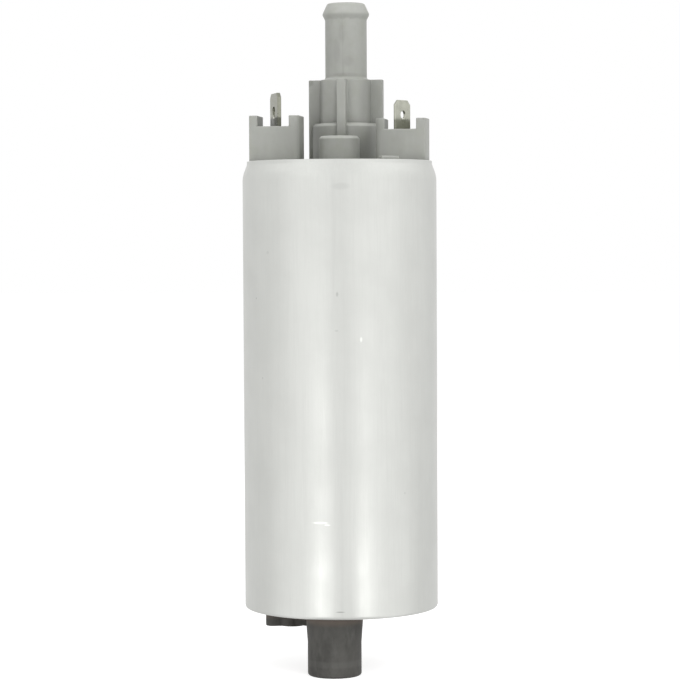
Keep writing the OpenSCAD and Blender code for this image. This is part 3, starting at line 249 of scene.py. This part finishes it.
# ---------------------------------------------------------------- materials
class Look:
    """A procedural material: a Principled shader and the nodes that feed it."""

    def __init__(self, name):
        self.material = bpy.data.materials.new(name)
        self.material.use_nodes = True
        self.tree = self.material.node_tree
        self.tree.nodes.clear()
        self.output = self.node("ShaderNodeOutputMaterial")
        self.shader = self.node("ShaderNodeBsdfPrincipled")
        self.link(self.shader.outputs["BSDF"], self.output.inputs["Surface"])
        self.place = self.node("ShaderNodeTexCoord").outputs["Object"]
        self.bumps = []

    def node(self, kind, **settings):
        made = self.tree.nodes.new(kind)
        for key, value in settings.items():
            setattr(made, key, value)
        return made

    def link(self, source, target):
        self.tree.links.new(source, target)

    def stretched(self, scale):
        """The place on the object, multiplied by a scale along each axis."""
        mapping = self.node("ShaderNodeMapping")
        mapping.inputs["Scale"].default_value = scale
        self.link(self.place, mapping.inputs["Vector"])
        return mapping.outputs["Vector"]

    def noise(self, scale, detail=3.0, rough=0.55):
        """Noise with a grain of 1/scale metres; scale is a number or one number per axis."""
        if isinstance(scale, (int, float)):
            scale = (scale, scale, scale)
        made = self.node("ShaderNodeTexNoise")
        made.inputs["Scale"].default_value = 1.0
        made.inputs["Detail"].default_value = detail
        made.inputs["Roughness"].default_value = rough
        self.link(self.stretched(scale), made.inputs["Vector"])
        return made.outputs["Fac"]

    def spread(self, value, low, high, to_low, to_high):
        """Maps a value from low..high to to_low..to_high, held at the ends."""
        made = self.node("ShaderNodeMapRange", interpolation_type="SMOOTHSTEP")
        for key, number in (("From Min", low), ("From Max", high),
                            ("To Min", to_low), ("To Max", to_high)):
            made.inputs[key].default_value = number
        self.link(value, made.inputs["Value"])
        return made.outputs["Result"]

    def calc(self, operation, a, b=0.0):
        """Works out one value from two; each is a number or a socket."""
        made = self.node("ShaderNodeMath", operation=operation)
        for socket, value in zip(made.inputs, (a, b)):
            if isinstance(value, (int, float)):
                socket.default_value = value
            else:
                self.link(value, socket)
        return made.outputs["Value"]

    def mix(self, factor, a, b):
        """Mixes two colours by a socket; each colour is a tuple or a socket."""
        made = self.node("ShaderNodeMix", data_type="RGBA")
        self.link(factor, made.inputs["Factor"])
        colours = [s for s in made.inputs if s.type == "RGBA"]
        for socket, value in zip(colours, (a, b)):
            if isinstance(value, tuple):
                socket.default_value = (*value, 1.0)
            else:
                self.link(value, socket)
        return [s for s in made.outputs if s.type == "RGBA"][0]

    def stain(self, colour, mask, strength, other):
        """Mixes another colour in where the mask is 1, as far as the strength says: real marks,
        and painted shade, shadow or highlight.
        """
        return self.mix(self.calc("MULTIPLY", mask, strength), colour, other)

    def height(self):
        """The place's height above the frame's origin, in mm."""
        return self.coordinate("Z")

    def coordinate(self, axis):
        """One coordinate of the place on the object, in mm."""
        split = self.node("ShaderNodeSeparateXYZ")
        self.link(self.place, split.inputs["Vector"])
        return self.calc("MULTIPLY", split.outputs[axis], 1 / MM)

    def spot(self, centre, size):
        """1 at a point of the surface, falling to 0 at the given half sizes, all in mm."""
        moved = self.node("ShaderNodeVectorMath", operation="SUBTRACT")
        self.link(self.place, moved.inputs[0])
        moved.inputs[1].default_value = [c * MM for c in centre]
        scaled = self.node("ShaderNodeVectorMath", operation="DIVIDE")
        self.link(moved.outputs["Vector"], scaled.inputs[0])
        scaled.inputs[1].default_value = [s * MM for s in size]
        length = self.node("ShaderNodeVectorMath", operation="LENGTH")
        self.link(scaled.outputs["Vector"], length.inputs[0])
        return self.spread(length.outputs["Value"], 0.35, 1.0, 1.0, 0.0)

    def colour(self, value):
        self.link(value, self.shader.inputs["Base Color"])

    def roughness(self, value):
        self.link(value, self.shader.inputs["Roughness"])

    def bump(self, height, depth_mm):
        """Adds relief: a height from 0 to 1 stands for depth_mm."""
        made = self.node("ShaderNodeBump")
        made.inputs["Strength"].default_value = 1.0
        made.inputs["Distance"].default_value = depth_mm * MM
        self.link(height, made.inputs["Height"])
        if self.bumps:
            self.link(self.bumps[-1].outputs["Normal"], made.inputs["Normal"])
        self.bumps.append(made)
        self.link(made.outputs["Normal"], self.shader.inputs["Normal"])


def shade(colour, factor):
    return tuple(c * factor for c in colour)


def can_metal():
    """Satin sheet metal, drawn lengthways: fine streaks, a faint mottle and a few small marks."""
    look = Look("can_metal")
    look.shader.inputs["Metallic"].default_value = 1.0
    base = (0.575, 0.582, 0.559)
    streaks = look.noise((1100, 1100, 22), detail=5.0, rough=0.62)
    fine = look.noise((5200, 5200, 160), detail=3.0)
    cloud = look.noise(120, detail=4.0, rough=0.6)
    grain = look.noise(4200, detail=2.0)
    colour = look.mix(look.spread(streaks, 0.3, 0.7, 0.0, 1.0),
                      shade(base, 0.965), shade(base, 1.02))
    colour = look.mix(look.spread(fine, 0.35, 0.65, 0.0, 0.5), colour, shade(base, 1.04))
    colour = look.mix(look.spread(cloud, 0.35, 0.75, 0.0, 0.55), colour, shade(base, 0.95))
    colour = look.mix(look.spread(grain, 0.62, 0.8, 0.0, 0.22), colour, shade(base, 0.78))
    for centre, size, factor, strength in CAN_MARKS:
        colour = look.stain(colour, look.spot(centre, size), strength, shade(base, factor))
    look.colour(colour)
    rough = look.spread(streaks, 0.3, 0.7, 0.34, 0.42)
    look.roughness(look.calc("ADD", rough, look.spread(cloud, 0.3, 0.7, -0.02, 0.03)))
    look.bump(streaks, 0.009)
    look.bump(grain, 0.004)
    return look.material


def cap_plastic():
    """Grey glass-filled moulding: a fine grain, faint flow marks, painted shade in its corners and
    low on its upright faces between the sockets, and some grime and painted shade in spots."""
    look = Look("cap_plastic")
    base = (0.376, 0.382, 0.356)
    flow = look.noise((160, 160, 45), detail=4.0, rough=0.6)
    grain = look.noise(3400, detail=3.0, rough=0.6)
    blots = look.noise(420, detail=2.0)
    colour = look.mix(look.spread(flow, 0.3, 0.7, 0.0, 1.0), shade(base, 0.92), shade(base, 1.08))
    colour = look.mix(look.spread(blots, 0.4, 0.75, 0.0, 0.5), colour, (0.335, 0.345, 0.30))
    colour = look.mix(look.spread(grain, 0.58, 0.8, 0.0, 0.35), colour, shade(base, 1.3))
    # Painted shade: darker in corners and recesses, found by ambient occlusion over 4 mm
    hollow_shade = look.node("ShaderNodeAmbientOcclusion", samples=8)
    hollow_shade.inputs["Distance"].default_value = 4 * MM
    colour = look.stain(colour, look.spread(hollow_shade.outputs["AO"], 0.2, 0.95, 1.0, 0.0), 0.62, DIRT_AND_SHADE)
    # Painted shade: darker low on the upright faces near the middle, less on faces turned to +x,
    # none on faces that look up
    low = look.spread(look.height(), HALF_CAN + 5.5, HALF_CAN + 10.5, 1.0, 0.0)
    middle = look.spread(look.calc("ABSOLUTE", look.coordinate("X")), 8.0, 17.0, 1.0, 0.0)
    facing = look.node("ShaderNodeSeparateXYZ")
    look.link(look.node("ShaderNodeTexCoord").outputs["Normal"], facing.inputs["Vector"])
    upright = look.spread(facing.outputs["Z"], 0.1, 0.6, 0.28, 0.0)
    right_faces_lighter = look.spread(facing.outputs["X"], 0.75, 0.98, 1.0, 0.3)
    low_shade = look.calc("MULTIPLY", look.calc("MULTIPLY", low, middle),
                     look.calc("MULTIPLY", upright, right_faces_lighter))
    colour = look.mix(low_shade, colour, DIRT_AND_SHADE)
    # Grime, and painted shade in the tower's grooves, beside the boss and at the left rib's top
    for centre, size, strength in CAP_GRIME_AND_SHADE:
        colour = look.stain(colour, look.spot(centre, size), strength, DIRT_AND_SHADE)
    look.colour(colour)
    look.roughness(look.spread(grain, 0.3, 0.7, 0.42, 0.56))
    look.bump(grain, 0.010)
    look.bump(flow, 0.03)
    return look.material


def cover_plastic():
    """Dark moulding, mottled and wiped, with a paler ring low on the stub, brownish where the
    stub meets the can, and a painted shadow at its side, where the stub keeps the light off."""
    look = Look("cover_plastic")
    base = (0.086, 0.084, 0.078)
    cloud = look.noise((260, 260, 130), detail=5.0, rough=0.65)
    grain = look.noise(3000, detail=3.0)
    smear = look.noise((420, 420, 150), detail=4.0, rough=0.65)
    colour = look.mix(look.spread(cloud, 0.3, 0.7, 0.0, 1.0), shade(base, 0.78), shade(base, 1.28))
    colour = look.mix(look.spread(smear, 0.52, 0.78, 0.0, 0.45), colour, (0.17, 0.17, 0.16))
    ring = look.spot((0, 0, -HALF_CAN - 9.3), (90, 90, 0.9))
    colour = look.stain(colour, ring, 0.15, (0.19, 0.19, 0.18))
    # Painted shadow cast by the stub on the cover's side
    stub_shadow = look.spot((-7.4, -7.0, -HALF_CAN - 2.2), (3.4, 7.0, 3.4))
    colour = look.stain(colour, stub_shadow, 0.5, (0.028, 0.025, 0.02))
    root = look.spread(look.height(), -HALF_CAN - 2.2, -HALF_CAN - 0.9, 0.0, 0.7)
    colour = look.mix(root, colour, (0.185, 0.15, 0.125))
    look.colour(colour)
    look.roughness(look.spread(cloud, 0.3, 0.7, 0.48, 0.62))
    look.shader.inputs["Specular IOR Level"].default_value = 0.16
    look.bump(grain, 0.012)
    look.bump(cloud, 0.03)
    return look.material


def tinned_metal(name, shape, base, foot_colour, foot_high, hole_glint_strength):
    """Tin plating, yellowish and blotchy, darker and less metallic from the slot's floor up to
    foot_high, and with a painted highlight on the hole's lower half."""
    look = Look(name)
    blots = look.noise(520, detail=4.0, rough=0.6)
    lines = look.noise((1800, 1800, 120), detail=3.0)
    colour = look.mix(look.spread(blots, 0.3, 0.7, 0.0, 1.0), shade(base, 0.86), shade(base, 1.12))
    colour = look.mix(look.spread(lines, 0.5, 0.8, 0.0, 0.4), colour, shade(base, 0.75))
    height = look.calc("ADD", look.height(), look.spread(blots, 0.2, 0.8, -0.12, 0.12))
    top = shape.floor_z + foot_high
    foot = look.spread(height, top - 0.3, top + 0.2, 1.0, 0.0)
    colour = look.stain(colour, foot, 0.9, foot_colour)
    look.link(look.spread(foot, 0.0, 1.0, 1.0, 0.1), look.shader.inputs["Metallic"])
    # Painted highlight: the hole's lower half made bright
    hole_glint = look.spot((shape.x, 0, shape.hole_z - 0.55 * shape.hole_r),
                       (1.1 * shape.hole_r, 1.1 * shape.hole_r, shape.hole_r))
    colour = look.stain(colour, hole_glint, hole_glint_strength, (0.9, 0.91, 0.82))
    look.colour(colour)
    look.roughness(look.spread(blots, 0.3, 0.7, 0.24, 0.40))
    look.bump(lines, 0.008)
    return look.material


def inner_finish(name, base, rough, scale, contrast, depth_mm, metallic, lines):
    """A speckled finish with a grain of 1/scale metres, and fine lines across an axis, such as
    stamped sheets, turned rings or wire."""
    look = Look(name)
    look.shader.inputs["Metallic"].default_value = metallic
    grain = look.noise(scale, detail=4.0, rough=0.6)
    cloud = look.noise(180, detail=3.0)
    colour = look.mix(look.spread(grain, 0.3, 0.7, 0.0, 1.0),
                      shade(base, 1 - contrast), shade(base, 1 + contrast))
    colour = look.mix(look.spread(cloud, 0.4, 0.7, 0.0, 0.4), colour, shade(base, 0.85))
    look.colour(colour)
    look.roughness(look.spread(grain, 0.3, 0.7, rough - 0.05, rough + 0.06))
    look.bump(grain, depth_mm)
    if lines:
        axis, pitch_mm, relief_mm = lines
        wave = look.node("ShaderNodeTexWave", wave_type="BANDS", bands_direction=axis)
        wave.inputs["Scale"].default_value = 1.0
        wave.inputs["Distortion"].default_value = 0.15
        turns = WAVE_PERIOD / (pitch_mm * MM)
        look.link(look.stretched((turns, turns, turns)), wave.inputs["Vector"])
        look.bump(wave.outputs["Fac"], relief_mm)
    return look.material


# ---------------------------------------------------------------- pieces
def finish_piece(obj, material, node):
    """Gives a piece its material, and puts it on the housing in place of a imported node."""
    obj.data.materials.clear()
    obj.data.materials.append(material)
    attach(obj, "housing")
    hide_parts(node)


def rounded_profile(corners):
    """Turns (r, z, radius) corners of a closed outline into points with arcs at the corners."""
    points = []
    count = len(corners)
    for i, (r, z, radius) in enumerate(corners):
        here = Vector((r, z))
        before = Vector(corners[i - 1][:2]) - here
        after = Vector(corners[(i + 1) % count][:2]) - here
        if radius == 0:
            points.append(here)
            continue
        u, v = before.normalized(), after.normalized()
        half = u.angle(v) / 2
        reach = min(radius / math.tan(half), CORNER_SHARE * before.length,
                    CORNER_SHARE * after.length)
        start, end = here + u * reach, here + v * reach
        for k in range(CORNER_STEPS + 1):
            t = k / CORNER_STEPS
            points.append(start * (1 - t) ** 2 + here * 2 * t * (1 - t) + end * t ** 2)
    return points


def join_rings(bm, rings):
    """Smooth faces between each closed ring of points and the next, and from last to first."""
    count = len(rings[0])
    for a, b in zip(rings, rings[1:] + rings[:1]):
        for i in range(count):
            j = (i + 1) % count
            bm.faces.new((a[i], b[i], b[j], a[j])).smooth = True


def make_can(material):
    """The can as a thin shell with a soft shoulder, an upright neck and rolled ends."""
    top, inside = HALF_CAN, CAN_R - CAN_WALL
    corners = [
        (ROLL_R, -top, 0.3), (CAN_R, -top, 0.7), (CAN_R, top - SHOULDER_DROP, SHOULDER_SOFT),
        (NECK_OUTER, top - NECK_HIGH, 0.9), (NECK_OUTER, top, 0.16), (NECK_INNER, top, 0.16),
        (NECK_INNER, top - NECK_HIGH, 0.0), (inside, top - SHOULDER_DROP, 0.0),
        (inside, -top + ROLL_THICK, 0.0), (ROLL_R, -top + ROLL_THICK, 0.3),
    ]
    points = rounded_profile(corners)
    bm = bmesh.new()
    rings = []
    for k in range(LATHE_STEPS):
        a = 2 * math.pi * k / LATHE_STEPS
        rings.append([bm.verts.new((p[0] * math.cos(a) * MM, p[0] * math.sin(a) * MM, p[1] * MM))
                      for p in points])
    join_rings(bm, rings)
    bmesh.ops.recalc_face_normals(bm, faces=bm.faces)
    finish_piece(mesh_object("can_shell", bm), material, "can")


def whole_faces(node):
    """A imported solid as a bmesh, with its triangles joined into whole faces."""
    bm = bmesh.new()
    bm.from_mesh(frame["nodes"][node].data)
    bmesh.ops.remove_doubles(bm, verts=bm.verts, dist=MERGE)
    bmesh.ops.dissolve_limit(bm, angle_limit=math.radians(FACET_ANGLE), verts=bm.verts,
                             edges=bm.edges, use_dissolve_boundaries=False)
    return bm


def apply_modifier(obj, modifier):
    bpy.context.view_layer.objects.active = obj
    with bpy.context.temp_override(object=obj, active_object=obj, selected_objects=[obj]):
        bpy.ops.object.modifier_apply(modifier=modifier.name)


def refill_flats(mesh):
    """Fills each flat face with triangles between its outline and its holes."""
    bm = bmesh.new()
    bm.from_mesh(mesh)
    bm.normal_update()
    for seed in [f for f in bm.faces if len(f.verts) > 4]:
        if not seed.is_valid:
            continue
        normal = seed.normal.copy()
        flat, waiting = {seed}, [seed]
        while waiting:
            for edge in waiting.pop().edges:
                for face in edge.link_faces:
                    if face not in flat and face.normal.dot(normal) > FLAT:
                        flat.add(face)
                        waiting.append(face)
        edges = {e for face in flat for e in face.edges}
        border = [e for e in edges if sum(f in flat for f in e.link_faces) == 1]
        inner = [e for e in edges if all(f in flat for f in e.link_faces)]
        bmesh.ops.delete(bm, geom=list(flat), context="FACES_ONLY")
        bmesh.ops.delete(bm, geom=inner, context="EDGES")
        made = bmesh.ops.triangle_fill(bm, edges=border, use_beauty=True, normal=normal)
        for face in made["geom"]:
            if isinstance(face, bmesh.types.BMFace):
                face.smooth = True
    bmesh.ops.delete(bm, geom=[v for v in bm.verts if not v.link_edges], context="VERTS")
    bmesh.ops.dissolve_degenerate(bm, dist=MERGE, edges=bm.edges)
    bmesh.ops.recalc_face_normals(bm, faces=bm.faces)
    bm.to_mesh(mesh)
    bm.free()


def softened(node, name, edge_mm, material):
    """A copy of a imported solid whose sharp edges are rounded."""
    bm = whole_faces(node)
    for face in bm.faces:
        face.smooth = True
    obj = mesh_object(name, bm)
    bevel = obj.modifiers.new("edges", "BEVEL")
    bevel.width = edge_mm * MM
    bevel.segments = BEVEL_SEGMENTS
    bevel.limit_method = "ANGLE"
    bevel.angle_limit = math.radians(BEVEL_ANGLE)
    bevel.use_clamp_overlap = False
    apply_modifier(obj, bevel)
    refill_flats(obj.data)
    apply_modifier(obj, obj.modifiers.new("normals", "WEIGHTED_NORMAL"))
    finish_piece(obj, material, node)


def blade_ring(shape, outside, offset, depth):
    """Points around a blade at a depth from its middle plane: on its outline less an offset, or
    on its hole plus one."""
    top, low = shape.tip_z - shape.hole_z, shape.hole_z - shape.floor_z + SUNK
    side = shape.width / 2
    corner = (side + top - TIP_CUT) * SLOPE
    sides = [((1, 0), side), ((-1, 0), side), ((0, 1), top), ((0, -1), low),
             ((SLOPE, SLOPE), corner), ((-SLOPE, SLOPE), corner)]
    a = math.radians(shape.turn)
    ring = []
    for k in range(BLADE_STEPS):
        b = 2 * math.pi * k / BLADE_STEPS
        u, v = math.cos(b), math.sin(b)
        reach = shape.hole_r + offset
        if outside:
            reach = min((far - offset) / (n[0] * u + n[1] * v)
                        for n, far in sides if n[0] * u + n[1] * v > PARALLEL)
        across = u * reach
        ring.append(Vector((shape.x + across * math.cos(a) + depth * math.sin(a),
                            across * math.sin(a) - depth * math.cos(a),
                            shape.hole_z + v * reach)) * MM)
    return ring


def make_terminal(node, name, shape, edge_mm, material):
    """A terminal whose blade has a clean mesh with rounded edges around its outline and hole. Its
    part below the slot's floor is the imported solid's."""
    bm = whole_faces(node)
    bmesh.ops.bisect_plane(bm, geom=bm.verts[:] + bm.edges[:] + bm.faces[:], dist=MERGE,
                           plane_co=(0, 0, (shape.floor_z - SUNK) * MM), plane_no=(0, 0, 1),
                           clear_outer=True)
    bmesh.ops.contextual_create(bm, geom=[e for e in bm.edges if e.is_boundary])
    for face in bm.faces:
        face.smooth = False
    half, soft = shape.thick / 2, edge_mm * (1 - SLOPE)
    edge = [(edge_mm + RIM, half), (edge_mm, half), (soft, half - soft), (0, half - edge_mm)]
    section = ([(True, offset, depth) for offset, depth in edge]
               + [(True, offset, -depth) for offset, depth in reversed(edge)]
               + [(False, offset, -depth) for offset, depth in edge]
               + [(False, offset, depth) for offset, depth in reversed(edge)])
    join_rings(bm, [[bm.verts.new(v) for v in blade_ring(shape, *row)] for row in section])
    bmesh.ops.recalc_face_normals(bm, faces=bm.faces)
    finish_piece(mesh_object(name, bm), material, node)


def parting_line(name, material, turn):
    """The fine ridge up the barb's side, where the two halves of its mould met."""
    a = math.radians(turn)
    out = Vector((math.sin(a), -math.cos(a), 0))
    along = Vector((math.cos(a), math.sin(a), 0))
    axis = Vector((0, TOWER_Y, 0))
    bm = bmesh.new()
    rows = []
    for r, z in BARB_PROFILE:
        foot = axis + out * (r - RIDGE_SUNK) + Vector((0, 0, z))
        rows.append([bm.verts.new(v * MM) for v in (
            foot - along * RIDGE_HALF, foot + out * (RIDGE_SUNK + RIDGE_HIGH),
            foot + along * RIDGE_HALF)])
    for low, high in zip(rows, rows[1:]):
        for i in range(3):
            j = (i + 1) % 3
            bm.faces.new((low[i], low[j], high[j], high[i]))
    bm.faces.new(rows[0][::-1])
    bm.faces.new(rows[-1])
    bmesh.ops.recalc_face_normals(bm, faces=bm.faces)
    ridge = mesh_object(name, bm)
    ridge.data.materials.append(material)
    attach(ridge, "housing")


def make_spring(node, material):
    """A copy of an imported spring or lead, given its finish and put on the housing in place of
    the node.
    """
    obj = add_object(node + "_flexible", frame["nodes"][node].data.copy())
    finish_piece(obj, material, node)
    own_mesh(obj)


def dress_inside():
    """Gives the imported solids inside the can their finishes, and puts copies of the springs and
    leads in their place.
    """
    finishes = {slot: inner_finish(slot, *row) for slot, row in INNER_FINISHES.items()}
    for part in frame["record"]["subparts"]:
        node, slot = part["node"], part["material_slot"]
        if slot in finishes:
            for place in frame["nodes"][node].material_slots:
                place.material = finishes[slot]
            if node in SPRINGS:
                make_spring(node, finishes[slot])


# ---------------------------------------------------------------- surroundings
def either(tree, a, b):
    """1 where either of two values is 1."""
    larger = tree.nodes.new("ShaderNodeMath")
    larger.operation = "MAXIMUM"
    tree.links.new(a, larger.inputs[0])
    tree.links.new(b, larger.inputs[1])
    return larger.outputs["Value"]


def pick_shader(tree, factor, first, second):
    """The first shader where the factor is 0, and the second where it is 1."""
    mixer = tree.nodes.new("ShaderNodeMixShader")
    for socket, source in zip(mixer.inputs, (factor, first, second)):
        tree.links.new(source, socket)
    return mixer.outputs["Shader"]


def make_floor():
    """A pale floor under the stub: white to the camera where nothing shades it, white in
    reflections, and clear from below."""
    level = (-HALF_CAN - STUB_LEN) * MM
    mesh = bpy.data.meshes.new("floor")
    mesh.from_pydata([(x * FLOOR_REACH, y * FLOOR_REACH, level)
                      for x, y in ((-1, -1), (1, -1), (1, 1), (-1, 1))], [], [(0, 1, 2, 3)])
    look = Look("floor_white")
    look.shader.inputs["Base Color"].default_value = (0.8, 0.8, 0.8, 1)
    look.shader.inputs["Roughness"].default_value = 0.9
    look.shader.inputs["Specular IOR Level"].default_value = 0.0
    soft = look.node("ShaderNodeBsdfDiffuse")
    soft.inputs["Color"].default_value = (0.6, 0.6, 0.6, 1)
    glow = look.node("ShaderNodeEmission")
    glow.inputs["Strength"].default_value = FLOOR_GLOW
    lit = look.node("ShaderNodeAddShader")
    look.link(soft.outputs["BSDF"], lit.inputs[0])
    look.link(glow.outputs["Emission"], lit.inputs[1])
    white = look.node("ShaderNodeEmission")
    white.inputs["Strength"].default_value = 1.0
    clear = look.node("ShaderNodeBsdfTransparent")
    path = look.node("ShaderNodeLightPath")
    side = look.node("ShaderNodeNewGeometry")
    mirrored = either(look.tree, path.outputs["Is Glossy Ray"],
                      path.outputs["Is Transmission Ray"])
    shown = pick_shader(look.tree, path.outputs["Is Camera Ray"], look.shader.outputs["BSDF"],
                        lit.outputs["Shader"])
    shown = pick_shader(look.tree, mirrored, shown, white.outputs["Emission"])
    shown = pick_shader(look.tree, side.outputs["Backfacing"], shown, clear.outputs["BSDF"])
    look.link(shown, look.output.inputs["Surface"])
    mesh.materials.append(look.material)
    add_object("floor", mesh)


def make_world():
    """Even white surroundings: full white to the camera and in reflections, softer as light."""
    world = bpy.data.worlds.new("studio")
    world.use_nodes = True
    tree = world.node_tree
    tree.nodes.clear()
    output = tree.nodes.new("ShaderNodeOutputWorld")
    soft, white = (tree.nodes.new("ShaderNodeBackground") for _ in range(2))
    for background, strength in ((soft, 0.42), (white, 1.0)):
        background.inputs["Color"].default_value = WHITE
        background.inputs["Strength"].default_value = strength
    path = tree.nodes.new("ShaderNodeLightPath")
    seen = either(tree, path.outputs["Is Camera Ray"], path.outputs["Is Glossy Ray"])
    seen = either(tree, seen, path.outputs["Is Transmission Ray"])
    shown = pick_shader(tree, seen, soft.outputs["Background"], white.outputs["Background"])
    tree.links.new(shown, output.inputs["Surface"])
    bpy.context.scene.world = world


def make_lamp(name, turn, elevation, distance, width, height, radiance, seen_by, target):
    """A rectangular lamp that faces its target, whose face is as bright as a white of strength
    "radiance"."""
    a, e = math.radians(AZIMUTH + turn), math.radians(elevation)
    back = Vector((math.sin(a) * math.cos(e), -math.cos(a) * math.cos(e), math.sin(e)))
    data = bpy.data.lights.new(name, "AREA")
    data.shape = "RECTANGLE"
    data.size, data.size_y = width * MM, height * MM
    data.energy = radiance * math.pi * width * MM * height * MM
    lamp = add_object(name, data)
    lamp.location = Vector(target) * MM + back * distance * MM
    lamp.rotation_euler = back.to_track_quat("Z", "Y").to_euler()
    lamp.visible_camera = False
    lamp.visible_diffuse = seen_by != "metal"
    lamp.visible_glossy = seen_by != "plain"


# ---------------------------------------------------------------- the scene
make_camera()
make_can(can_metal())
cap = cap_plastic()
softened("outlet_cap", "cap_moulding", 0.18, cap)
parting_line("barb_parting_front", cap, 0)
parting_line("barb_parting_back", cap, 180)
softened("inlet_cover", "cover_moulding", 0.2, cover_plastic())
wide_tin = tinned_metal("tinned_wide", WIDE_BLADE, base=(0.27, 0.273, 0.225),
                        foot_colour=(0.06, 0.063, 0.04), foot_high=1.7, hole_glint_strength=1.0)
narrow_tin = tinned_metal("tinned_narrow", NARROW_BLADE, base=(0.41, 0.415, 0.355),
                          foot_colour=(0.195, 0.2, 0.15), foot_high=1.9, hole_glint_strength=0.15)
make_terminal("wide_terminal", "wide_blade", WIDE_BLADE, 0.14, wide_tin)
make_terminal("narrow_terminal", "narrow_blade", NARROW_BLADE, 0.1, narrow_tin)
dress_inside()
make_floor()
make_world()
for lamp_row in LAMPS:
    make_lamp(*lamp_row)

bpy.context.scene.view_settings.view_transform = "Standard"
